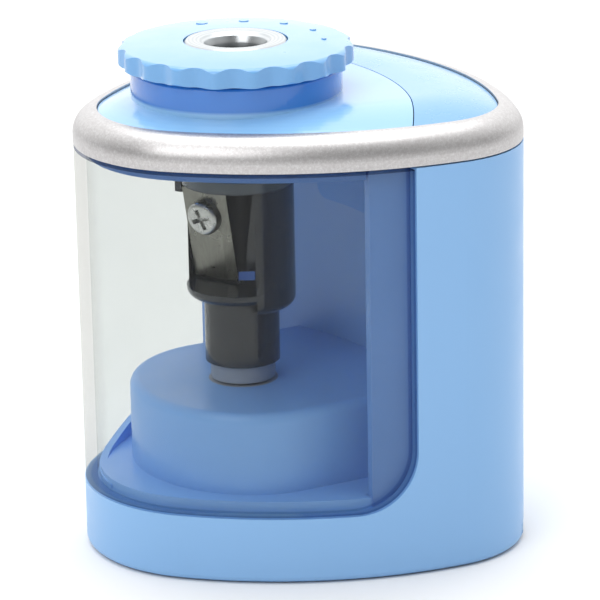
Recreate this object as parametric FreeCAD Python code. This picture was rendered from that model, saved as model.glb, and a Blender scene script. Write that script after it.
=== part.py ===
import FreeCAD, Part
import os
from math import sin, cos, tan, pi, sqrt, atan2, acos, radians, degrees

V = FreeCAD.Vector
os.makedirs("parts", exist_ok=True)

# ------------------------------------------------------------------ driving dimensions (mm)
AY = -8.2                 # Y of the cutter axis; the axis stands upright at X = 0
# plan outline, tangent arcs, Y measured from the cutter axis
NOSE_Y, NOSE_R = -26.0, 21.4
HALF_W, SIDE_R = 33.3, 61.7
CORNER_R = 16.6
REAR_Y, REAR_R = 42.3, 58.3
WALL = 2.0
RIM_Z = 10.4              # top of the base skirt under the window
FLOOR_Z = 12.4            # raised floor inside the skirt
WIN_Y = 13.3 + AY         # rear edge of the window
WIN_R = 9.5               # rounded lower rear corner of the window
PART_T = 1.5              # wall behind the bin, an arc under the deck seam
PLAT_Z = 25.3             # top of the gear housing
PLAT_X, PLAT_N = 20.0, 17.5
BODY_TOP = 64.85
RING_Z0, RING_Z1, RING_W = 65.0, 70.35, 3.9
DECK_Z = 70.0             # outer edge of the decks, a little below the ring
DECK_CROWN, CROWN_W = 2.0, 10.8
SEAM_CY, SEAM_R, SEAM_GAP = -35.2, 50.7, 0.16
COLLAR_R, COLLAR_TOP = 16.4, 76.0
DIAL_R, DIAL_WAVE, DIAL_N = 17.75, 0.45, 19
DIAL_Z0, DIAL_Z1, DIAL_ZC = 76.4, 79.4, 80.0
BUSH_R, BORE_R = 7.95, 4.0
PIN_Z = 69.4              # height of the sleeve's guide pins at rest
CUT_ANGLE = 28.0          # turn of the blade face about the axis at rest
CONE_A = 11.5             # half angle of the pencil cone
MODULE, PRESSURE = 0.5, 25.0
OUT_T, IDLER_T, IDLER_P, MOTOR_T = 54, 50, 12, 10
IDLER_Y = AY + MODULE * (OUT_T + IDLER_P) / 2
MOTOR_Y = IDLER_Y + MODULE * (IDLER_T + MOTOR_T) / 2
CELL_X, CELL_Y, CELL_R = 18.9, 21.1, 7.0
DOOR_X = 26.6


# ------------------------------------------------------------------ helpers
def arc3(c, r, a0, a1, z):
    p = [V(c[0] + r * cos(a), c[1] + r * sin(a), z) for a in (a0, 0.5 * (a0 + a1), a1)]
    return Part.Arc(p[0], p[1], p[2]).toShape()


def outline_arcs():
    cn = (0.0, AY + NOSE_Y + NOSE_R)
    sx = HALF_W - SIDE_R
    cs = (sx, cn[1] + sqrt((SIDE_R - NOSE_R) ** 2 - sx ** 2))
    cr = (0.0, AY + REAR_Y - REAR_R)
    d1, d2 = SIDE_R - CORNER_R, REAR_R - CORNER_R
    dx, dy = cr[0] - cs[0], cr[1] - cs[1]
    d = sqrt(dx * dx + dy * dy)
    k = (d1 * d1 - d2 * d2 + d * d) / (2 * d)
    h = sqrt(d1 * d1 - k * k)
    mx, my = cs[0] + k * dx / d, cs[1] + k * dy / d
    cands = [(mx - h * dy / d, my + h * dx / d), (mx + h * dy / d, my - h * dx / d)]
    ck = max(cands, key=lambda q: q[0])
    t1 = atan2(cn[1] - cs[1], cn[0] - cs[0])
    t2 = atan2(ck[1] - cs[1], ck[0] - cs[0])
    t3 = atan2(ck[1] - cr[1], ck[0] - cr[0])
    return [(cs, SIDE_R, t1, t2), (ck, CORNER_R, t2, t3), (cr, REAR_R, t3, pi - t3),
            ((-ck[0], ck[1]), CORNER_R, pi - t3, pi - t2),
            ((-cs[0], cs[1]), SIDE_R, pi - t2, pi - t1),
            (cn, NOSE_R, pi - t1, 2 * pi + t1)]


ARCS = outline_arcs()


def prism(off, z0, z1):
    w = Part.Wire([arc3(c, r + off, a0, a1, z0) for c, r, a0, a1 in ARCS])
    return Part.Face(w).extrude(V(0, 0, z1 - z0))


def band(pts):
    """Section (inset, z) carried round the whole outline."""
    out = None
    for c, r, a0, a1 in ARCS:
        ps = [V(c[0] + (r - i) * cos(a0), c[1] + (r - i) * sin(a0), z) for i, z in pts]
        f = Part.Face(Part.makePolygon(ps + [ps[0]]))
        s = f.revolve(V(c[0], c[1], 0), V(0, 0, 1), degrees(a1 - a0))
        out = s if out is None else out.fuse(s)
    return out


def box(x0, x1, y0, y1, z0, z1):
    return Part.makeBox(x1 - x0, y1 - y0, z1 - z0, V(x0, y0, z0))


def cyl(r, z0, z1, x=0.0, y=AY):
    return Part.makeCylinder(r, z1 - z0, V(x, y, z0))


def tube(ri, ro, z0, z1, x=0.0, y=AY):
    return cyl(ro, z0, z1, x, y).cut(cyl(ri, z0 - 1, z1 + 1, x, y))


def cone(r0, r1, z0, z1, x=0.0, y=AY):
    return Part.makeCone(r0, r1, z1 - z0, V(x, y, z0))


def turned(pts, x=0.0, y=AY):
    ps = [V(x + r, y, z) for r, z in pts]
    return Part.Face(Part.makePolygon(ps + [ps[0]])).revolve(V(x, y, 0), V(0, 0, 1), 360)


def union(items):
    out = items[0]
    if len(items) > 1:
        out = out.multiFuse(items[1:])
    return out.removeSplitter()


def edges_at(s, z, tol=1e-4):
    return [e for e in s.Edges if abs(e.BoundBox.ZMin - z) < tol and abs(e.BoundBox.ZMax - z) < tol]


def yz_prism(pts, x0, x1):
    ps = [V(x0, y, z) for y, z in pts]
    return Part.Face(Part.makePolygon(ps + [ps[0]])).extrude(V(x1 - x0, 0, 0))


def xz_prism(pts, y0, y1):
    ps = [V(x, y0, z) for x, z in pts]
    return Part.Face(Part.makePolygon(ps + [ps[0]])).extrude(V(0, y1 - y0, 0))


def window_prism(grow):
    """Side view of the bin space, open to the front and the top."""
    yr, zb, r = WIN_Y + grow, RIM_Z - grow, WIN_R
    q = r * (1 - sqrt(0.5))
    e = [Part.makeLine(V(-60, -70, zb), V(-60, yr - r, zb)),
         Part.Arc(V(-60, yr - r, zb), V(-60, yr - q, zb + q), V(-60, yr, zb + r)).toShape(),
         Part.makeLine(V(-60, yr, zb + r), V(-60, yr, 80)),
         Part.makeLine(V(-60, yr, 80), V(-60, -70, 80)),
         Part.makeLine(V(-60, -70, 80), V(-60, -70, zb))]
    return Part.Face(Part.Wire(e)).extrude(V(120, 0, 0))


def platform(inset, z0, z1, yback):
    a, b = PLAT_X - inset, PLAT_N - inset
    el = Part.Ellipse(V(0, AY, z0), a, b)
    arc = Part.ArcOfEllipse(el, pi, 2 * pi).toShape()
    w = Part.Wire([arc, Part.makeLine(V(a, AY, z0), V(a, yback, z0)),
                   Part.makeLine(V(a, yback, z0), V(-a, yback, z0)),
                   Part.makeLine(V(-a, yback, z0), V(-a, AY, z0))])
    return Part.Face(w).extrude(V(0, 0, z1 - z0))


def gear(n, z0, z1, y, bore, tooth_at, thin=0.09):
    """Stub involute teeth; tooth_at is the angle (deg) of one tooth centre."""
    m = MODULE
    rp = m * n / 2
    rb, rt, rr = rp * cos(radians(PRESSURE)), rp + 0.8 * m, rp - 1.15 * m
    inv = lambda a: tan(a) - a
    half = (pi * m / 2 - thin) / (2 * rp) + inv(radians(PRESSURE))

    def flank(r):
        return half - (inv(acos(min(1.0, rb / r))) if r > rb else 0.0)
    lo = max(rb, rr + 0.02)
    radii = [rr] + [lo + (rt - lo) * k / 4.0 for k in range(5)]
    pts = []
    for k in range(n):
        c = radians(tooth_at) + 2 * pi * k / n
        pts += [(r, c - flank(r)) for r in radii]
        pts += [(r, c + flank(r)) for r in reversed(radii)]
    ps = [V(r * cos(a), y + r * sin(a), z0) for r, a in pts]
    s = Part.Face(Part.makePolygon(ps + [ps[0]])).extrude(V(0, 0, z1 - z0))
    return s.cut(cyl(bore, z0 - 1, z1 + 1, 0, y))


def pan_screw(head_r, head_h, shank_r, length, depth=0.7):
    """Points down -Z, underside of the head at z = 0."""
    h = cyl(head_r, 0, head_h, 0, 0)
    h = h.makeFillet(head_h * 0.45, edges_at(h, head_h))
    s = h.fuse(cyl(shank_r, -length, 0.0, 0, 0)).removeSplitter()
    w, l = head_r * 0.26, head_r * 0.62
    s = s.cut(box(-l, l, -w / 2, w / 2, head_h - depth, head_h + 1))
    return s.cut(box(-w / 2, w / 2, -l, l, head_h - depth, head_h + 1))


def at(s, x, y, z, flip=False):
    c = s.copy()
    if flip:
        c.rotate(V(0, 0, 0), V(1, 0, 0), 180)
    c.translate(V(x, y, z))
    return c


def group(items):
    return Part.makeCompound(items)


def spin(s, deg):
    c = s.copy()
    c.rotate(V(0, AY, 0), V(0, 0, 1), deg)
    return c


def save(name, s):
    s.exportStep("parts/" + name + ".step")
    print(name, "solids", len(s.Solids), "valid", s.isValid(), "vol", round(s.Volume, 1))


# ------------------------------------------------------------------ main body: skirt, floor, gear housing, column
body = prism(0, 0, BODY_TOP)
body = body.makeFillet(1.0, edges_at(body, 0.0))
body = body.cut(window_prism(0))
pocket = prism(-WALL, FLOOR_Z, 80).common(cyl(SEAM_R, FLOOR_Z, 80, 0, SEAM_CY))
body = body.cut(pocket)
floor_up = prism(-2.5, RIM_Z - 1.0, FLOOR_Z).common(cyl(SEAM_R + 0.5, 0, 80, 0, SEAM_CY))
plat = platform(0, FLOOR_Z - 1, PLAT_Z, 16.4)
plat = plat.makeFillet(1.5, [e for e in edges_at(plat, PLAT_Z) if e.BoundBox.YMin < 16.0])
ramp = yz_prism([(AY + y, z) for y, z in [(-26, 11), (-21, 12.2), (-16, 13.4), (-10, 15.2), (-4, 16.0), (7.2, 16.2), (7.2, BODY_TOP),
                                          (14.5, BODY_TOP), (14.5, 11)]], -40, 0)
post = box(0, 40, AY + 7.2, AY + 14.5, 11, BODY_TOP)
lip = prism(-WALL - 0.3, 11, BODY_TOP).cut(prism(-WALL - 1.6, 0, 80)).common(ramp.fuse(post))
body = union([body, floor_up, plat, lip])
# hollow underside, gear housing and column
body = body.cut(prism(-WALL, -1, 8.4))
body = body.cut(prism(-4.6, -1, 10.4))
body = body.cut(platform(1.8, -1, PLAT_Z - 2.0, 18.0))
body = body.cut(prism(-WALL, -1, 80).cut(cyl(SEAM_R + PART_T, -2, 90, 0, SEAM_CY)))
BASE_SCREWS = [(24.4, -5.0), (-24.4, -5.0), (0.0, -28.9)]
POSTS = [(16.3, AY - 1.0), (-16.3, AY - 1.0), (16.6, AY + 18.4), (-16.6, AY + 18.4)]
TOPS = [(26.3, 21.8), (-26.3, 21.8), (14.0, 17.2), (-14.0, 17.2)]
adds = [cyl(2.6, 3.15, 9.0, x, y) for x, y in BASE_SCREWS]
adds += [cyl(1.9, 5.4, PLAT_Z - 1.5, x, y) for x, y in POSTS]
adds += [cyl(3.0, 16.2, PLAT_Z - 1.0, 0, IDLER_Y), cyl(7.4, 20.4, PLAT_Z - 1.0)]
top_posts = union([cyl(2.9, 58.0, BODY_TOP, x, y) for x, y in TOPS])
adds += [top_posts.common(prism(-0.5, 50, 70))]
for sgn in (1, -1):
    x0 = 10.6 if sgn > 0 else -11.6
    adds.append(box(x0, x0 + 1.0, 10.0, 33.0, 14.0, 55.5).common(prism(-1.0, 0, 70)).cut(cyl(SEAM_R + 0.8, 0, 80, 0, SEAM_CY)))
body = union([body] + adds)
for x, y in BASE_SCREWS:
    body = body.cut(cyl(1.0, 1, 9.0, x, y))
for x, y in POSTS:
    body = body.cut(cyl(0.85, 5, 13.0, x, y))
for x, y in TOPS:
    body = body.cut(cyl(1.0, 59.0, 70, x, y))
body = body.cut(cyl(1.0, 15, 19.0, 0, IDLER_Y))
body = body.cut(cyl(5.5, 20, PLAT_Z + 1))


def door_profile(g):
    return [(-DOOR_X - g, -3), (DOOR_X + g, -3), (DOOR_X + g, 1.15 - g), (DOOR_X + 1.2 + g, 1.15 - g),
            (DOOR_X + 1.2 + g, 2.3 + g), (-DOOR_X - 1.2 - g, 2.3 + g), (-DOOR_X - 1.2 - g, 1.15 - g),
            (-DOOR_X - g, 1.15 - g)]


body = body.cut(xz_prism(door_profile(0.2), 12.0, 50)).cut(box(-24.3, 24.3, 12.0, 50, 0, 2.85))
save("main_body", body.removeSplitter())

# ------------------------------------------------------------------ underside
plate = prism(-WALL - 0.15, 0.5, 3.1)
plate = plate.cut(xz_prism(door_profile(0.2), 12.0, 50)).cut(box(-26.9, 26.9, 12.0, 60, 0, 5))
for x, y in BASE_SCREWS:
    plate = plate.cut(cyl(1.2, 0, 4, x, y)).cut(cyl(2.5, 0, 1.6, x, y))
plate = plate.cut(cyl(2.4, 1.3, 4)).cut(box(-2.4, 8.0, AY - 2.4, AY + 2.4, 2.0, 4))
plate = max(plate.Solids, key=lambda q: q.Volume)
save("base_plate", plate)
sc = pan_screw(2.2, 1.0, 0.98, 6.0, 0.5)
save("base_screws", group([at(sc, x, y, 1.6, True) for x, y in BASE_SCREWS]))
door = xz_prism(door_profile(0.0), 12.2, 50).common(prism(-0.05, 0.5, 5))
for k in range(4):
    door = door.cut(box(-7, 7, 25.0 + 1.6 * k, 25.8 + 1.6 * k, 0, 0.9))
save("battery_door", door)
save("bridge_contact", box(-24, 24, 17.5, 24.0, 2.3, 2.6))
cell_a = union([cyl(CELL_R, 3.0, 52.2, CELL_X, CELL_Y), cyl(2.7, 52.2, 53.4, CELL_X, CELL_Y)])
cell_b = union([cyl(2.7, 3.0, 4.2, -CELL_X, CELL_Y), cyl(CELL_R, 4.2, 53.4, -CELL_X, CELL_Y)])
save("aa_cells", group([cell_a, cell_b]))
cap = prism(-WALL - 0.2, 55.6, 57.2).cut(cyl(SEAM_R + PART_T + 0.2, 0, 90, 0, SEAM_CY))
cap = cap.cut(cyl(4.0, 50, 60, 0, 24.0))
save("cell_cap", cap)
term_a = union([box(CELL_X - 4.5, CELL_X + 4.5, CELL_Y - 4, CELL_Y + 4, 55.1, 55.5),
                box(CELL_X - 2, CELL_X + 2, CELL_Y - 2, CELL_Y + 2, 53.5, 55.2)])
leaf = union([box(-CELL_X - 5, -CELL_X + 5, CELL_Y - 3, CELL_Y + 3, 55.1, 55.5),
              xz_prism([(-CELL_X - 4.6, 55.2), (-CELL_X - 4.1, 55.2), (-CELL_X + 1.0, 53.8), (-CELL_X + 3.4, 54.6),
                        (-CELL_X + 3.6, 54.3), (-CELL_X + 1.0, 53.45)], CELL_Y - 2, CELL_Y + 2)])
save("cell_terminals", group([term_a, leaf]))

# ------------------------------------------------------------------ gear plate, motor and gears
gp = union([box(-18.4, 18.4, AY - 6.0, 13.0, 4.0, 5.4), box(-10.2, 10.2, 12.0, 29.8, 4.0, 5.4),
            cyl(1.7, 4.2, 12.1, 8.3, 27.9), cyl(1.7, 4.2, 12.1, -8.3, 27.9)])
gp = gp.common(platform(2.1, 3, 13, 31.0))
for x, y in POSTS:
    gp = gp.cut(cyl(1.0, 3, 7, x, y))
gp = gp.cut(cyl(2.8, 3, 7)).cut(cyl(1.0, 3, 7, 0, IDLER_Y)).cut(cyl(3.6, 3, 7, 0, MOTOR_Y))
for sx in (8.3, -8.3):
    gp = gp.cut(cyl(0.7, 6.0, 13, sx, 27.9))
save("gear_plate", gp)
sc = pan_screw(1.9, 0.9, 0.83, 6.5, 0.45)
save("gear_plate_screws", group([at(sc, x, y, 4.0, True) for x, y in POSTS]))
save("lower_bush", union([tube(1.54, 2.8, 4.0, 5.4), tube(1.54, 3.6, 5.4, 5.9)]))
save("idler_axle", cyl(0.99, 4.0, 19.0, 0, IDLER_Y))
idler = union([gear(IDLER_T, 6.2, 8.8, IDLER_Y, 1.05, 90.0), gear(IDLER_P, 8.8, 15.4, IDLER_Y, 1.05, -75.0),
               tube(1.05, 2.4, 5.7, 15.7, 0, IDLER_Y)])
save("idler_gear", idler)
save("motor_pinion", gear(MOTOR_T, 5.9, 10.4, MOTOR_Y, 0.99, -72.0))
save("motor_shaft", cyl(0.99, 5.6, 40.2, 0, MOTOR_Y))


def motor_block(inset, z0, z1):
    return cyl(7.75 - inset, z0, z1, 0, MOTOR_Y).common(
        box(-20, 20, MOTOR_Y - 6.0 + inset, MOTOR_Y + 6.0 - inset, z0, z1))


case = union([motor_block(0, 13.5, 36.5), cyl(3.0, 12.0, 14.0, 0, MOTOR_Y)])
case = case.cut(motor_block(1.0, 14.7, 40)).cut(cyl(1.06, 10, 20, 0, MOTOR_Y))
for sx in (5.0, -5.0):
    case = case.cut(cyl(0.6, 13, 16, sx, MOTOR_Y))
save("motor_case", case)
bell = union([motor_block(0, 36.5, 38.2), motor_block(1.05, 35.5, 36.5), cyl(3.6, 38.0, 40.6, 0, MOTOR_Y)])
bell = bell.cut(cyl(1.06, 30, 50, 0, MOTOR_Y))
bell = union([bell, box(-5.6, -4.8, MOTOR_Y - 1.2, MOTOR_Y + 1.2, 38.0, 41.0), box(4.8, 5.6, MOTOR_Y - 1.2, MOTOR_Y + 1.2, 38.0, 41.0)])
save("motor_end_bell", bell)
brk = box(-10.2, 10.2, 17.4, 29.8, 12.1, 13.5).cut(cyl(3.05, 10, 16, 0, MOTOR_Y))
for s0, s1 in ((8.3, 5.0), (-8.3, -5.0)):
    brk = brk.cut(cyl(0.9, 10, 16, s0, 27.9)).cut(cyl(0.9, 10, 16, s1, MOTOR_Y))
    brk = brk.cut(cyl(1.6, 13.0, 16, s0, 27.9))
    brk = brk.cut(cyl(1.6, 11, 12.6, s1, MOTOR_Y))
save("motor_bracket", brk)
sc = pan_screw(1.5, 0.5, 0.58, 1.9, 0.3)
sc2 = pan_screw(1.5, 0.5, 0.68, 5.5, 0.3)
save("motor_screws", group([at(sc, sx, MOTOR_Y, 12.6, True) for sx in (5.0, -5.0)] +
                           [at(sc2, sx, 27.9, 13.0) for sx in (8.3, -8.3)]))

# ------------------------------------------------------------------ drive
hub = turned([(0.7, 4.1), (1.48, 4.1), (1.48, 9.6), (2.9, 9.6), (2.9, 16.0), (3.48, 16.0), (3.48, 25.7),
              (5.1, 25.7), (5.1, 34.4), (3.3, 34.4), (3.3, 28.2), (0.7, 28.2)])
for sgn in (1, -1):
    b = box(3.9, 9, AY - 9, AY + 9, 28.9, 40) if sgn > 0 else box(-9, -3.9, AY - 9, AY + 9, 28.9, 40)
    hub = hub.cut(b)
save("drive_hub", spin(hub, CUT_ANGLE))
save("output_gear", gear(OUT_T, 10.3, 14.3, AY, 2.92, 90.0))
save("hub_bush", tube(3.54, 5.48, 20.4, 25.3))
save("stop_pin", union([cyl(0.6, 3.9, 41.0), cyl(1.2, 3.5, 3.95)]))
strip = xz_prism([(7.6, 2.0), (7.6, 2.25), (5.2, 2.25), (2.0, 3.45), (-1.6, 3.45), (-1.6, 3.2), (1.9, 3.2), (5.1, 2.0)],
                 AY - 1.5, AY + 1.5)
save("start_leaf", strip)
hx = Part.makeHelix(1.75, 7.6, 2.6)
prof = Part.Wire(Part.makeCircle(0.22, V(2.6, 0, 0), V(0, 1, 0)))
coil = Part.Wire(hx.Edges).makePipeShell([prof], True, True)
coil.translate(V(0, AY, 28.55))
save("lift_spring", coil)

# ------------------------------------------------------------------ cutter
ta = tan(radians(CONE_A))
Z_TIP, R_TIP = 41.0, 0.65


def cone_r(z):
    return R_TIP + (z - Z_TIP) * ta


hold = cyl(8.55, 39.0, 57.4)
hold = hold.makeFillet(1.6, edges_at(hold, 39.0))
flange = cyl(8.9, 57.4, 59.6)
flange = flange.makeFillet(0.5, edges_at(flange, 59.6))
lug = cyl(10.2, 55.4, 57.6).common(box(-12, -6, AY - 4.2, AY + 4.2, 55.4, 57.6))
deep = cyl(8.55, 37.4, 41.0)
deep = deep.makeFillet(1.6, edges_at(deep, 37.4))
half = box(2.6, 12, AY - 12, AY + 12, 36, 41)
half.rotate(V(0, AY, 0), V(0, 0, 1), 34)
hold = union([hold, flange, lug, deep.common(half), cyl(5.9, 28.5, 40.0)])
front = yz_prism([(AY - cone_r(40.9), 40.9), (AY - cone_r(57.4), 57.4), (AY - 20, 57.4), (AY - 20, 40.9)], -8.1, 6.6)
hold = hold.cut(front)
chip = yz_prism([(AY - 0.35 * cone_r(41.4), 41.4), (AY - 0.35 * cone_r(57.4), 57.4), (AY - 20, 57.4), (AY - 20, 41.4)], 0.0, 6.6)
hold = hold.cut(chip)
hold = hold.cut(cone(cone_r(41.0), cone_r(59.6), 41.0, 59.6)).cut(cone(4.2, 5.2, 58.8, 59.61))
hold = hold.cut(cyl(0.75, 30, 42))
slot = Part.makeBox(2.6, 19, 1.4, V(-0.4, -9, -0.7))
slot.rotate(V(0, 0, 0), V(1, 0, 0), -17.2)
slot.rotate(V(0, 0, 0), V(0, 0, 1), 34)
slot.translate(V(0, AY, 41.85))
hold = hold.cut(slot)
sock = cyl(5.2, 28, 37.2).cut(box(4.05, 9, AY - 9, AY + 9, 31.2, 40)).cut(box(-9, -4.05, AY - 9, AY + 9, 31.2, 40))
hold = hold.cut(sock)
# the blade lies in the plane that touches the cone along its front line
bl_w, bl_t, bl_l = 7.7, 0.7, 15.4
z_b = 41.5
blade = Part.makeBox(bl_w, bl_t, bl_l, V(-bl_w, -bl_t, 0))
blade = blade.cut(Part.Face(Part.makePolygon([V(0.01, -bl_t - 0.01, -1), V(-1.5, -bl_t - 0.01, -1), V(0.01, -0.08, -1),
                                              V(0.01, -bl_t - 0.01, -1)])).extrude(V(0, 0, bl_l + 2)))
w_s = (52.2 - z_b) / cos(radians(CONE_A))
hole = Part.makeCylinder(1.45, 5, V(-3.75, 1, w_s), V(0, -1, 0))
blade = blade.cut(hole)


def on_seat(s):
    c = s.copy()
    c.rotate(V(0, 0, 0), V(1, 0, 0), CONE_A)
    c.translate(V(0, AY - cone_r(z_b), z_b))
    return c


pilot = Part.makeCylinder(1.26, 2.3, V(-3.75, 0.0, w_s), V(0, 1, 0))
scr = pan_screw(2.8, 1.7, 1.25, 2.9, 0.9)
scr.rotate(V(0, 0, 0), V(0, 0, 1), 20)
scr.rotate(V(0, 0, 0), V(1, 0, 0), 90)
scr.translate(V(-3.75, -bl_t, w_s))
hold = hold.cut(on_seat(pilot))
save("cutter_holder", spin(hold.removeSplitter(), CUT_ANGLE))
save("blade", spin(on_seat(blade), CUT_ANGLE))
save("blade_screw", spin(on_seat(scr), CUT_ANGLE))

# ------------------------------------------------------------------ top: plate, ring, decks
tp = prism(-WALL - 0.05, 65.0, 67.4)
tp = union([tp, cyl(15.5, 62.0, 66.0)])
tongue = cyl(SEAM_R - 0.5, 49.0, 66.0, 0, SEAM_CY).cut(cyl(SEAM_R - 1.9, 40, 70, 0, SEAM_CY)).common(box(-12, 12, 0, 30, 49.0, 66.0))
tab = box(-12, 12, 0, 30, 49.0, 67.0)
tab = tab.makeFillet(2.2, [e for e in tab.Edges if abs(e.BoundBox.ZMax - 49.0) < 1e-6 and e.BoundBox.YLength > 20])
tongue = tongue.common(tab)
rib = prism(-WALL - 0.3, 63.1, 65.6).cut(prism(-WALL - 1.7, 60, 70)).common(box(-60, 60, -60, AY + 6.8, 0, 80))
tp = union([tp, tongue, rib])
tp = tp.cut(cyl(12.6, 63.4, 70)).cut(cyl(10.5, 60, 70))
tp = tp.cut(box(-12.9, 12.9, AY - 1.7, AY + 1.7, 60, 70))
for x, y in TOPS:
    tp = tp.cut(cyl(1.2, 60, 70, x, y)).cut(cyl(2.4, 66.2, 70, x, y))
tp = tp.cut(box(-6, 6, 17, 30, 60, 70))
save("top_plate", tp)
sc = pan_screw(2.2, 1.1, 0.98, 6.0, 0.6)
save("top_screws", group([at(sc, x, y, 66.2) for x, y in TOPS]))
ring = prism(0, RING_Z0, RING_Z1)
ring = ring.makeFillet(RING_W - 0.02, edges_at(ring, RING_Z1))
ring = ring.makeFillet(0.25, edges_at(ring, RING_Z0))
ring = ring.cut(prism(-WALL + 0.05, 60, 67.45)).cut(prism(-RING_W + 0.05, 60, 75))
save("trim_ring", ring)
edge = RING_W + 0.1
n = 10
rc = (CROWN_W ** 2 + DECK_CROWN ** 2) / (2 * DECK_CROWN)
sect = [(edge, 67.5)] + [(edge + CROWN_W * k / n, DECK_Z + DECK_CROWN - rc + sqrt(rc ** 2 - (CROWN_W * (1 - k / n)) ** 2))
                         for k in range(n + 1)] + [(edge + CROWN_W, 67.5)]
deck = band(sect).fuse(prism(-edge - CROWN_W, 67.5, DECK_Z + DECK_CROWN)).removeSplitter()
seam_in = cyl(SEAM_R - SEAM_GAP / 2, 60, 80, 0, SEAM_CY)
seam_out = cyl(SEAM_R + SEAM_GAP / 2, 60, 80, 0, SEAM_CY)
rear = deck.cut(seam_out)
front = deck.common(seam_in)
collar = cyl(COLLAR_R, 69.0, COLLAR_TOP)
collar = collar.makeFillet(0.4, edges_at(collar, COLLAR_TOP))
front = union([front, collar]).cut(cyl(12.35, 60, 80)).cut(cyl(14.2, 60, 72.7))
save("front_deck", front)
save("rear_deck", rear)

# ------------------------------------------------------------------ dial and its sleeve
pts = []
cnt = DIAL_N * 10
for k in range(cnt):
    a = 2 * pi * k / cnt
    r = DIAL_R + DIAL_WAVE * cos(DIAL_N * a)
    pts.append(V(r * cos(a), AY + r * sin(a), DIAL_Z0))
bs = Part.BSplineCurve()
bs.interpolate(pts, PeriodicFlag=True)
lobes = Part.Face(Part.Wire(bs.toShape())).extrude(V(0, 0, 4))
def turned_edges(edges):
    return Part.Face(Part.Wire(edges)).revolve(V(0, AY, 0), V(0, 0, 1), 360)


def rz(r, z):
    return V(r, AY, z)


def ln(p, q):
    return Part.makeLine(rz(*p), rz(*q))


def bow(p, m, q):
    return Part.Arc(rz(*p), rz(*m), rz(*q)).toShape()


shape = turned_edges([ln((8.1, DIAL_Z0), (17.5, DIAL_Z0)), bow((17.5, DIAL_Z0), (18.07, DIAL_Z0 + 0.23), (18.3, DIAL_Z0 + 0.8)),
                      ln((18.3, DIAL_Z0 + 0.8), (18.3, DIAL_Z1 - 1.1)),
                      bow((18.3, DIAL_Z1 - 1.1), (17.98, DIAL_Z1 - 0.32), (17.2, DIAL_Z1)),
                      bow((17.2, DIAL_Z1), (12.8, DIAL_Z1 + 0.35), (8.1, DIAL_ZC - 0.1)),
                      ln((8.1, DIAL_ZC - 0.1), (8.1, DIAL_Z0))])
top = lobes.common(shape)
skirt = tube(10.45, 12.0, 65.6, DIAL_Z0 + 0.5).cut(tube(11.4, 14.0, 71.05, 72.35))
for base in (0.0, 180.0):
    tool = []
    for k in range(33):
        t = 3.75 * k
        a = radians(base + 90.0 - t)
        tool.append(Part.makeCylinder(1.12, 4.0, V(9.5 * cos(a), AY + 9.5 * sin(a), PIN_Z - 2.0 * t / 120.0), V(cos(a), sin(a), 0)))
    skirt = skirt.cut(tool[0].multiFuse(tool[1:]))
dial = union([top, skirt, tube(6.6, 10.6, 74.3, 75.4)])
for k in range(5):
    a = radians(62 + 28.4 * k)
    dial = dial.fuse(cyl(0.4 + 0.13 * k, DIAL_Z1 - 1, DIAL_Z1 + 0.45, 13.6 * cos(a), AY + 13.6 * sin(a)))
save("dial", dial.removeSplitter())
save("dial_retainer", tube(11.42, 13.6, 71.1, 72.3).cut(box(-1.0, 1.0, AY - 15, AY, 70, 74)))
bush = turned([(BORE_R, 75.4), (BUSH_R, 75.4), (BUSH_R, 79.65), (7.6, 80.0), (6.6, 80.05), (5.6, 79.9), (4.9, 79.4), (4.4, 78.4), (4.1, 77.1), (BORE_R, 76.2)])
save("entry_bush", union([bush, tube(BORE_R, 6.45, 72.8, 75.4)]))
sl = union([tube(8.6, 10.15, 61.6, 71.6), tube(4.7, 10.15, 60.6, 62.0)])
keys = box(-12.5, 12.5, AY - 1.5, AY + 1.5, 61.9, 65.2).cut(cyl(9.0, 60, 72))
sl = union([sl, keys])
for base in (90.0, 270.0):
    a = radians(base)
    pin = Part.makeCylinder(0.8, 2.6, V(9.0 * cos(a), AY + 9.0 * sin(a), PIN_Z), V(cos(a), sin(a), 0))
    sl = sl.fuse(pin)
save("lift_sleeve", sl.removeSplitter())
save("thrust_washer", tube(5.4, 8.4, 59.95, 60.6))

# ------------------------------------------------------------------ shavings bin
wall = prism(-0.1, 10.7, 64.6).cut(prism(-2.0, 0, 80)).common(window_prism(-0.25))
save("shavings_bin", wall.removeSplitter())
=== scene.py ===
import bpy
from math import sin, cos, pi, radians
from mathutils import Matrix, Vector


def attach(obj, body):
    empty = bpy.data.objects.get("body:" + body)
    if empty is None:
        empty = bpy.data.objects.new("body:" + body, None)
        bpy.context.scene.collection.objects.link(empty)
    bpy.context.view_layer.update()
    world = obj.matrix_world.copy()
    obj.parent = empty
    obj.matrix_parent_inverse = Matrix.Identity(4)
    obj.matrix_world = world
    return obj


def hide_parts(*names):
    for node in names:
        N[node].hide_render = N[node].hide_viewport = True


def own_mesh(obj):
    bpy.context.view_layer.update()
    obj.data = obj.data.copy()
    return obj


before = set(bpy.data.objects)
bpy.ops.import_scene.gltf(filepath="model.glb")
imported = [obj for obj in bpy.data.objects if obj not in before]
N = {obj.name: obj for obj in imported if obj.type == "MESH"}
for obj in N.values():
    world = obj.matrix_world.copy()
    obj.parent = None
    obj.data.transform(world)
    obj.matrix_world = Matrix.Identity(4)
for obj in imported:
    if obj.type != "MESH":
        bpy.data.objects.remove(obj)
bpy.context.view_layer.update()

AX = Vector((0.0, -0.0082, 0.0))
scene = bpy.context.scene


def lin(r, g, b):
    f = lambda c: c / 12.92 if c <= 0.04045 else ((c + 0.055) / 1.055) ** 2.4
    return tuple(f(v / 255.0) for v in (r, g, b)) + (1.0,)


def scaled(c, k):
    return tuple(min(1.0, v * k) for v in c[:3]) + (1.0,)


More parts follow.
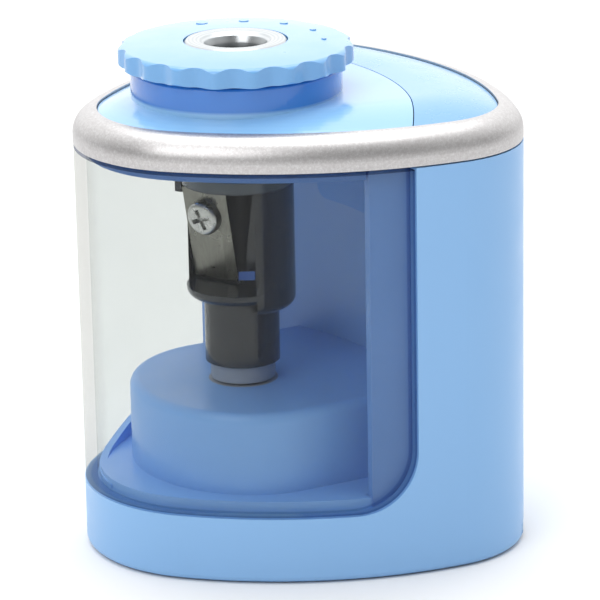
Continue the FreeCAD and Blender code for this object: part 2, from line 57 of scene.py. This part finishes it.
# ------------------------------------------------------------------ materials
class Mat:
    def __init__(self, name):
        m = bpy.data.materials.new(name)
        m.use_nodes = True
        self.m, self.nt = m, m.node_tree
        self.b = self.nt.nodes["Principled BSDF"]
        self.tc = self.node("ShaderNodeTexCoord")
        self.bumps = []

    def node(self, kind, **kw):
        n = self.nt.nodes.new(kind)
        for k, v in kw.items():
            setattr(n, k, v)
        return n

    def link(self, a, b):
        self.nt.links.new(a, b)

    def coords(self, scale=(1, 1, 1), loc=(0, 0, 0), rot=(0, 0, 0)):
        mp = self.node("ShaderNodeMapping")
        mp.inputs["Location"].default_value = loc
        mp.inputs["Rotation"].default_value = rot
        mp.inputs["Scale"].default_value = scale
        self.link(self.tc.outputs["Object"], mp.inputs["Vector"])
        return mp.outputs["Vector"]

    def noise(self, scale, detail=3.0, vec=None, rough=0.55):
        n = self.node("ShaderNodeTexNoise")
        n.inputs["Scale"].default_value = scale
        n.inputs["Detail"].default_value = detail
        n.inputs["Roughness"].default_value = rough
        self.link(vec if vec is not None else self.tc.outputs["Object"], n.inputs["Vector"])
        return n.outputs["Fac"]

    def voronoi(self, scale, out="Distance", vec=None):
        n = self.node("ShaderNodeTexVoronoi")
        n.inputs["Scale"].default_value = scale
        self.link(vec if vec is not None else self.tc.outputs["Object"], n.inputs["Vector"])
        return n.outputs[out]

    def ramp(self, fac, stops):
        r = self.node("ShaderNodeValToRGB")
        e = r.color_ramp.elements
        while len(e) < len(stops):
            e.new(0.5)
        for el, (p, c) in zip(e, stops):
            el.position = p
            el.color = c if len(c) == 4 else tuple(c) + (1.0,)
        self.link(fac, r.inputs["Fac"])
        return r.outputs["Color"]

    def rng(self, fac, lo, hi, a=0.3, b=0.7):
        n = self.node("ShaderNodeMapRange")
        n.inputs["From Min"].default_value = a
        n.inputs["From Max"].default_value = b
        n.inputs["To Min"].default_value = lo
        n.inputs["To Max"].default_value = hi
        self.link(fac, n.inputs["Value"])
        return n.outputs["Result"]

    def bump(self, height, strength, dist):
        n = self.node("ShaderNodeBump")
        n.inputs["Strength"].default_value = strength
        n.inputs["Distance"].default_value = dist
        self.link(height, n.inputs["Height"])
        if self.bumps:
            self.link(self.bumps[-1].outputs["Normal"], n.inputs["Normal"])
        self.bumps.append(n)
        self.link(n.outputs["Normal"], self.b.inputs["Normal"])

    def set(self, **kw):
        for k, v in kw.items():
            self.b.inputs[k.replace("_", " ")].default_value = v

    def color(self, out):
        self.link(out, self.b.inputs["Base Color"])

    def rough(self, out):
        self.link(out, self.b.inputs["Roughness"])


def plastic(name, col, rough=0.3, spread=0.05, grain=0.12, ior=1.5, var=0.02, coat=0.0):
    """Injection moulded plastic: slow flow shading, handling haze, fine tool texture."""
    p = Mat(name)
    p.set(IOR=ior)
    flow = p.noise(28.0, 2.0, p.coords(scale=(1.0, 1.0, 0.35)))
    p.color(p.ramp(flow, [(0.25, scaled(col, 1.0 - var)), (0.55, col), (0.8, scaled(col, 1.0 + var))]))
    p.rough(p.rng(p.noise(160.0, 5.0), rough - spread, rough + spread))
    p.bump(p.noise(5200.0, 2.0), grain, 0.000008)
    if coat:
        p.set(Coat_Weight=coat, Coat_Roughness=0.08)
    return p


def metal(name, col, rough=0.3, streak=(1, 1, 1), streak_amt=0.1, scale=900.0, tint=0.1):
    p = Mat(name)
    p.set(Metallic=1.0)
    s = p.noise(scale, 4.0, p.coords(scale=streak))
    p.color(p.ramp(s, [(0.3, scaled(col, 1.0 - tint)), (0.5, col), (0.72, scaled(col, 1.0 + tint))]))
    p.rough(p.rng(p.noise(420.0, 4.0), rough - 0.06, rough + 0.08))
    p.bump(s, streak_amt, 0.00002)
    return p


BLUE = lin(134, 181, 228)
blue_body = plastic("blue_body_plastic", BLUE, 0.36, coat=0.06)

# the inner faces behind the clear wall are painted a bluer tone as painted bounce light inside the bin, and the
# posts at the window's rear edge are painted a darker blue as painted shade
bx = blue_body.node("ShaderNodeSeparateXYZ")
blue_body.link(blue_body.tc.outputs["Object"], bx.inputs["Vector"])
bax = blue_body.node("ShaderNodeMath", operation="ABSOLUTE")
blue_body.link(bx.outputs["X"], bax.inputs[0])


def both(a, b):
    n = blue_body.node("ShaderNodeMath", operation="MULTIPLY")
    blue_body.link(a, n.inputs[0])
    blue_body.link(b, n.inputs[1])
    return n.outputs["Value"]


def reach(x, ox, oy):
    """Distance in plan from the point (-ox, -oy)."""
    c = blue_body.node("ShaderNodeCombineXYZ")
    blue_body.link(x, c.inputs["X"])
    blue_body.link(bx.outputs["Y"], c.inputs["Y"])
    n = blue_body.node("ShaderNodeVectorMath", operation="ADD")
    blue_body.link(c.outputs["Vector"], n.inputs[0])
    n.inputs[1].default_value = (ox, oy, 0.0)
    m = blue_body.node("ShaderNodeVectorMath", operation="LENGTH")
    blue_body.link(n.outputs["Vector"], m.inputs[0])
    return m.outputs["Value"]


within = blue_body.rng(reach(bax.outputs["Value"], 0.0284, -0.015793), 1.0, 0.0, 0.0596, 0.0598)
before = blue_body.rng(reach(bx.outputs["X"], 0.0, 0.0352), 1.0, 0.0, 0.0508, 0.0510)
raised = blue_body.rng(bx.outputs["Z"], 0.0, 1.0, 0.0106, 0.0110)
inner_bounce_mask = both(both(within, before), raised)
post_shade_mask = both(inner_bounce_mask, both(blue_body.rng(bax.outputs["Value"], 0.0, 1.0, 0.0262, 0.0266), blue_body.rng(bx.outputs["Y"], 0.0, 1.0, -0.0014, -0.0009)))
inner_bounce_mix = blue_body.node("ShaderNodeMix", data_type="RGBA")
inner_bounce_mix.inputs[7].default_value = lin(132, 181, 243)
blue_body.link(blue_body.b.inputs["Base Color"].links[0].from_socket, inner_bounce_mix.inputs[6])
blue_body.link(inner_bounce_mask, inner_bounce_mix.inputs[0])
post_shade_mix = blue_body.node("ShaderNodeMix", data_type="RGBA")
post_shade_mix.inputs[7].default_value = lin(100, 142, 208)
blue_body.link(inner_bounce_mix.outputs[2], post_shade_mix.inputs[6])
blue_body.link(post_shade_mask, post_shade_mix.inputs[0])
blue_body.color(post_shade_mix.outputs[2])
blue_rear = plastic("blue_rear_deck_plastic", lin(116, 170, 217), 0.26, coat=0.35)
blue_dial = plastic("blue_dial_plastic", lin(104, 165, 219), 0.32, coat=0.8)
# painted shade: the top plate is painted a deep blue for the shade under the ring, and its lower edge below about
# 62 mm is painted lighter
blue_inner_shaded = plastic("blue_inner_plastic", lin(80, 128, 200), 0.40, grain=0.3)
tz = blue_inner_shaded.node("ShaderNodeSeparateXYZ")
blue_inner_shaded.link(blue_inner_shaded.tc.outputs["Object"], tz.inputs["Vector"])
under_ring_shade_mix = blue_inner_shaded.node("ShaderNodeMix", data_type="RGBA")
under_ring_shade_mix.inputs[6].default_value = lin(104, 170, 246)
blue_inner_shaded.link(blue_inner_shaded.b.inputs["Base Color"].links[0].from_socket, under_ring_shade_mix.inputs[7])
blue_inner_shaded.link(blue_inner_shaded.rng(tz.outputs["Z"], 0.0, 1.0, 0.0622, 0.0630), under_ring_shade_mix.inputs[0])
blue_inner_shaded.color(under_ring_shade_mix.outputs[2])
blue_under = plastic("blue_underside_plastic", lin(120, 168, 214), 0.42, grain=0.4)

# front deck: pale gloss deck; the upright collar round the dial is painted a deeper blue, as painted shade under
# the dial's overhang
blue_deck = plastic("blue_deck_plastic", lin(142, 192, 234), 0.22, coat=0.6)
dz = blue_deck.node("ShaderNodeSeparateXYZ")
blue_deck.link(blue_deck.tc.outputs["Object"], dz.inputs["Vector"])
collar_shade_mix = blue_deck.node("ShaderNodeMix", data_type="RGBA")
collar_shade_mix.inputs[7].default_value = lin(46, 124, 208)
dsrc = blue_deck.b.inputs["Base Color"].links[0].from_socket
blue_deck.link(dsrc, collar_shade_mix.inputs[6])
blue_deck.link(blue_deck.rng(dz.outputs["Z"], 0.0, 1.0, 0.0719, 0.0724), collar_shade_mix.inputs[0])
blue_deck.color(collar_shade_mix.outputs[2])

# silver paint: very fine flakes under a thin clear film
silver = Mat("silver_flake_paint")
silver.set(Metallic=1.0, Coat_Weight=0.12, Coat_Roughness=0.2)
fl = silver.noise(5200.0, 2.0)
fl2 = silver.noise(2300.0, 2.0)
mx = silver.node("ShaderNodeMath", operation="MULTIPLY")
silver.link(fl, mx.inputs[0])
silver.link(fl2, mx.inputs[1])
silver.color(silver.ramp(mx.outputs["Value"], [(0.10, lin(182, 179, 179)), (0.25, lin(193, 191, 191)), (0.42, lin(208, 207, 207))]))
silver.rough(silver.rng(fl, 0.36, 0.46))
silver.bump(fl, 0.10, 0.000008)

# clear bin: tinted see-through wall with a thin gloss on it
clear = Mat("clear_bin_plastic")
clear.set(Metallic=1.0, Base_Color=(0.95, 0.96, 0.96, 1.0))
clear.rough(clear.rng(clear.noise(240.0, 6.0), 0.03, 0.07))
clear.bump(clear.noise(36.0, 2.0), 0.03, 0.00004)
thru = clear.node("ShaderNodeBsdfTransparent")
tint = clear.ramp(clear.noise(70.0, 5.0), [(0.3, (0.868, 0.880, 0.874, 1.0)), (0.7, (0.880, 0.891, 0.885, 1.0))])
cx = clear.node("ShaderNodeSeparateXYZ")
clear.link(clear.tc.outputs["Object"], cx.inputs["Vector"])


def over(a, b, swap):
    """Positive part of (coordinate - b), or of (b - coordinate)."""
    n = clear.node("ShaderNodeMath", operation="SUBTRACT")
    clear.link(a, n.inputs[1 if swap else 0])
    n.inputs[0 if swap else 1].default_value = b
    m = clear.node("ShaderNodeMath", operation="MAXIMUM")
    clear.link(n.outputs["Value"], m.inputs[0])
    m.inputs[1].default_value = 0.0
    return m.outputs["Value"]


# painted shade: the wall is tinted dark blue along its rear and bottom edges, where it laps the body, for the
# shade in the gap
cv = clear.node("ShaderNodeCombineXYZ")
clear.link(over(cx.outputs["Y"], -0.00465, False), cv.inputs["X"])
clear.link(over(cx.outputs["Z"], 0.02015, True), cv.inputs["Y"])
cl = clear.node("ShaderNodeVectorMath", operation="LENGTH")
clear.link(cv.outputs["Vector"], cl.inputs[0])
gap_shade_mix = clear.node("ShaderNodeMix", data_type="RGBA")
gap_shade_mix.inputs[7].default_value = (0.56, 0.63, 0.75, 1.0)
clear.link(tint, gap_shade_mix.inputs[6])
clear.link(clear.rng(cl.outputs["Value"], 0.0, 1.0, 0.00908, 0.00928), gap_shade_mix.inputs[0])
# the long path through the wall where it is seen edge-on at the nose absorbs more
nv = clear.node("ShaderNodeVectorMath", operation="MULTIPLY_ADD")
clear.link(clear.tc.outputs["Object"], nv.inputs[0])
nv.inputs[1].default_value = (1.0, 1.0, 0.0)
nv.inputs[2].default_value = (0.0, 0.0128, 0.0)
nl = clear.node("ShaderNodeVectorMath", operation="LENGTH")
clear.link(nv.outputs["Vector"], nl.inputs[0])
lw2 = clear.node("ShaderNodeLayerWeight")
lw2.inputs["Blend"].default_value = 0.5
nm = clear.node("ShaderNodeMath", operation="MULTIPLY")
clear.link(clear.rng(nl.outputs["Value"], 0.0, 1.0, 0.0203, 0.0206), nm.inputs[0])
clear.link(clear.rng(lw2.outputs["Facing"], 0.0, 1.0, 0.58, 0.63), nm.inputs[1])
nm2 = clear.node("ShaderNodeMath", operation="MULTIPLY")
clear.link(nm.outputs["Value"], nm2.inputs[0])
clear.link(clear.rng(cx.outputs["Y"], 1.0, 0.0, -0.0128, -0.0110), nm2.inputs[1])
gmix = clear.node("ShaderNodeMix", data_type="RGBA")
gmix.inputs[7].default_value = (0.775, 0.778, 0.765, 1.0)
clear.link(gap_shade_mix.outputs[2], gmix.inputs[6])
clear.link(nm2.outputs["Value"], gmix.inputs[0])
# shadow line along the top edge under the ring
umix = clear.node("ShaderNodeMix", data_type="RGBA")
umix.inputs[7].default_value = (0.34, 0.36, 0.42, 1.0)
clear.link(gmix.outputs[2], umix.inputs[6])
clear.link(clear.rng(cx.outputs["Z"], 0.0, 1.0, 0.06440, 0.06448), umix.inputs[0])
clear.link(umix.outputs[2], thru.inputs["Color"])
face = clear.node("ShaderNodeLayerWeight")
face.inputs["Blend"].default_value = 0.5
fp = clear.node("ShaderNodeMath", operation="POWER")
fp.inputs[1].default_value = 5.0
clear.link(face.outputs["Facing"], fp.inputs[0])
fm = clear.node("ShaderNodeMath", operation="MULTIPLY_ADD")
fm.inputs[1].default_value = 0.06
fm.inputs[2].default_value = 0.010
clear.link(fp.outputs["Value"], fm.inputs[0])
cmix = clear.node("ShaderNodeMixShader")
clear.link(fm.outputs["Value"], cmix.inputs[0])
clear.link(thru.outputs["BSDF"], cmix.inputs[1])
clear.link(clear.b.outputs["BSDF"], cmix.inputs[2])
clear.link(cmix.outputs["Shader"], clear.nt.nodes["Material Output"].inputs["Surface"])

# smoked cutter holder
smoke = Mat("smoked_cutter_plastic")
smoke.set(Transmission_Weight=0.30, IOR=1.52)
sm = smoke.noise(55.0, 3.0)
smoke.color(smoke.ramp(sm, [(0.3, lin(38, 42, 50)), (0.7, lin(48, 52, 60))]))
# painted light: the holder is painted a lighter grey from the top face of its flange upward, for the light falling
# on it
sz = smoke.node("ShaderNodeSeparateXYZ")
smoke.link(smoke.tc.outputs["Object"], sz.inputs["Vector"])
top_light_mix = smoke.node("ShaderNodeMix", data_type="RGBA")
top_light_mix.inputs[7].default_value = lin(86, 96, 102)
smoke.link(smoke.b.inputs["Base Color"].links[0].from_socket, top_light_mix.inputs[6])
smoke.link(smoke.rng(sz.outputs["Z"], 0.0, 1.0, 0.0573, 0.0577), top_light_mix.inputs[0])
smoke.color(top_light_mix.outputs[2])
smoke.rough(smoke.rng(smoke.noise(300.0, 5.0), 0.10, 0.24))
smoke.bump(smoke.noise(900.0, 3.0), 0.18, 0.00002)

ANG = radians(28.0)
blade = metal("ground_blade_steel", lin(128, 127, 120), 0.30, (14, 14, 0.6), 0.25, 260.0, 0.16)
screw = metal("plated_screw_steel", lin(186, 186, 184), 0.28, (1, 1, 1), 0.2, 1500.0, 0.12)
bush = Mat("turned_bush_metal")
bush.set(Metallic=1.0)
ring_v = bush.coords(loc=(-AX.x, -AX.y, 0))
wv = bush.node("ShaderNodeTexWave", wave_type="RINGS", rings_direction="Z")
wv.inputs["Scale"].default_value = 520.0
wv.inputs["Distortion"].default_value = 0.6
wv.inputs["Detail"].default_value = 2.0
bush.link(ring_v, wv.inputs["Vector"])
bush.color(bush.ramp(wv.outputs["Fac"], [(0.0, lin(186, 191, 193)), (1.0, lin(204, 208, 210))]))
bush.rough(bush.rng(bush.noise(500.0, 4.0), 0.26, 0.38))
bush.bump(wv.outputs["Fac"], 0.06, 0.000008)
# painted shade: the bush is painted near black below its top lip, for the shade down the bore
bz = bush.node("ShaderNodeSeparateXYZ")
bush.link(bush.tc.outputs["Object"], bz.inputs["Vector"])
bore_shade_mix = bush.node("ShaderNodeMix", data_type="RGBA")
bore_shade_mix.inputs[6].default_value = lin(26, 28, 33)
bush.link(bush.b.inputs["Base Color"].links[0].from_socket, bore_shade_mix.inputs[7])
bush.link(bush.rng(bz.outputs["Z"], 0.0, 1.0, 0.0772, 0.0795), bore_shade_mix.inputs[0])
bush.color(bore_shade_mix.outputs[2])

grey = plastic("grey_hub_plastic", lin(160, 166, 178), 0.42, grain=0.5, var=0.06)
white = plastic("natural_acetal", lin(232, 231, 222), 0.38, grain=0.35, var=0.04)
black = plastic("black_moulded_plastic", lin(38, 39, 42), 0.45, grain=0.6, var=0.12)
steel = metal("drawn_motor_steel", lin(188, 190, 192), 0.26, (1, 1, 0.06), 0.14, 700.0, 0.1)
brass = metal("turned_brass", lin(206, 170, 96), 0.26, (1, 1, 3), 0.12, 800.0, 0.1)
nickel = metal("nickel_spring_strip", lin(198, 194, 182), 0.3, (0.1, 2, 2), 0.2, 700.0, 0.12)
jacket = Mat("cell_jacket_film")
sx = jacket.node("ShaderNodeSeparateXYZ")
jacket.link(jacket.tc.outputs["Object"], sx.inputs["Vector"])
jacket.color(jacket.ramp(jacket.rng(sx.outputs["Z"], 0.0, 1.0, 0.0, 0.055),
                         [(0.0, lin(52, 54, 60)), (0.70, lin(58, 60, 66)), (0.72, lin(176, 142, 84)), (0.94, lin(186, 152, 92))]))
jacket.rough(jacket.rng(jacket.noise(220.0, 4.0), 0.22, 0.36))
jacket.set(Metallic=0.35)
jacket.bump(jacket.noise(600.0, 3.0), 0.1, 0.00002)

USE = {
    "main_body": blue_body, "base_plate": blue_under, "battery_door": blue_under, "front_deck": blue_deck, "rear_deck": blue_rear,
    "dial": blue_dial, "top_plate": blue_inner_shaded, "trim_ring": silver, "shavings_bin": clear, "cutter_holder": smoke,
    "blade": blade, "blade_screw": screw, "entry_bush": bush, "drive_hub": grey, "lift_sleeve": grey, "thrust_washer": white,
    "dial_retainer": white, "output_gear": white, "idler_gear": white, "gear_plate": black, "cell_cap": black, "motor_end_bell": black,
    "motor_case": steel, "motor_shaft": screw, "motor_pinion": brass, "hub_bush": grey, "lower_bush": brass, "idler_axle": screw,
    "motor_bracket": screw, "motor_screws": screw, "gear_plate_screws": screw, "base_screws": screw, "top_screws": screw,
    "stop_pin": screw, "start_leaf": brass, "lift_spring": screw, "bridge_contact": nickel, "cell_terminals": nickel, "aa_cells": jacket,
}
for name, mat in USE.items():
    o = N[name]
    o.data.materials.clear()
    o.data.materials.append(mat.m)

# ------------------------------------------------------------------ floor, light, camera
me = bpy.data.meshes.new("floor")
s = 6.0
me.from_pydata([(-s, -s, -0.0002), (s, -s, -0.0002), (s, s, -0.0002), (-s, s, -0.0002)], [], [(0, 1, 2, 3)])
floor = bpy.data.objects.new("floor", me)
scene.collection.objects.link(floor)
fm = Mat("pale_floor")
fm.color(fm.ramp(fm.noise(3.0, 2.0), [(0.3, (0.83, 0.83, 0.83, 1)), (0.7, (0.86, 0.86, 0.86, 1))]))
fm.set(Roughness=0.9)
me.materials.append(fm.m)

w = bpy.data.worlds.new("studio")
scene.world = w
w.use_nodes = True
# white backdrop behind the object and overhead, dim room on the near side
wn = w.node_tree.nodes
wl = w.node_tree.links
tcw = wn.new("ShaderNodeTexCoord")
dotn = wn.new("ShaderNodeVectorMath")
dotn.operation = "DOT_PRODUCT"
dotn.inputs[1].default_value = (-0.883 * 0.9, 0.469 * 0.9, 0.8)
wl.new(tcw.outputs["Generated"], dotn.inputs[0])
mr = wn.new("ShaderNodeMapRange")
mr.interpolation_type = "SMOOTHSTEP"
mr.inputs["From Min"].default_value = -0.2
mr.inputs["From Max"].default_value = 1.1
mr.inputs["To Min"].default_value = 0.30
mr.inputs["To Max"].default_value = 1.50
wl.new(dotn.outputs["Value"], mr.inputs["Value"])
wn["Background"].inputs["Color"].default_value = (1.0, 1.0, 1.0, 1.0)
wl.new(mr.outputs["Result"], wn["Background"].inputs["Strength"])


def area(name, loc, target, size, power, col=(1, 1, 1), size_y=None):
    d = bpy.data.lights.new(name, "AREA")
    d.energy, d.size, d.color = power, size, col
    if size_y:
        d.shape, d.size_y = "RECTANGLE", size_y
    o = bpy.data.objects.new(name, d)
    o.location = loc
    o.rotation_euler = (Vector(target) - Vector(loc)).to_track_quat("-Z", "Y").to_euler()
    scene.collection.objects.link(o)


area("key", (0.30, -0.50, 0.50), (0, 0, 0.04), 0.45, 1.8)
area("side", (0.55, 0.30, 0.40), (0, 0, 0.04), 0.45, 0.2)
area("top", (-0.10, 0.05, 0.80), (0, 0, 0.06), 0.70, 3.2)

f, pitch, az, roll = 3600.0, 0.2998, 1.0823, -0.0187
Dh, Hc, u0 = 0.54106, 0.20498, 0.00917
loc = Vector((u0 * cos(az) + Dh * sin(az), u0 * sin(az) - Dh * cos(az) + AX.y, Hc))
fwd = Vector((-sin(az) * cos(pitch), cos(az) * cos(pitch), -sin(pitch)))
right = Vector((cos(az), sin(az), 0.0))
up = right.cross(fwd)
rot = Matrix((right, up, -fwd)).transposed() @ Matrix.Rotation(roll, 3, "Z")
cam = bpy.data.cameras.new("camera")
cam.sensor_width, cam.sensor_height, cam.sensor_fit = 36.0, 36.0, "HORIZONTAL"
cam.lens = f / 600.0 * 36.0
cam.clip_start, cam.clip_end = 0.01, 50.0
co = bpy.data.objects.new("camera", cam)
co.matrix_world = Matrix.Translation(loc) @ rot.to_4x4()
scene.collection.objects.link(co)
scene.camera = co
scene.view_settings.view_transform = "Standard"
scene.view_settings.look = "None"

# copies of the coil and the leaf, each with its own mesh, attached to their bodies in place of the originals
for node, body, joint, foot, keep in (("lift_spring", "drive", "cutter_lift", 0.0283, 0.745), ("start_leaf", "body", "start_push", 0.002, 0.33)):
    src = bpy.data.objects[node]
    flex = bpy.data.objects.new(node + "_flexing", src.data.copy())
    scene.collection.objects.link(flex)
    flex.matrix_world = src.matrix_world.copy()
    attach(flex, body)
    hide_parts(node)
    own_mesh(flex)
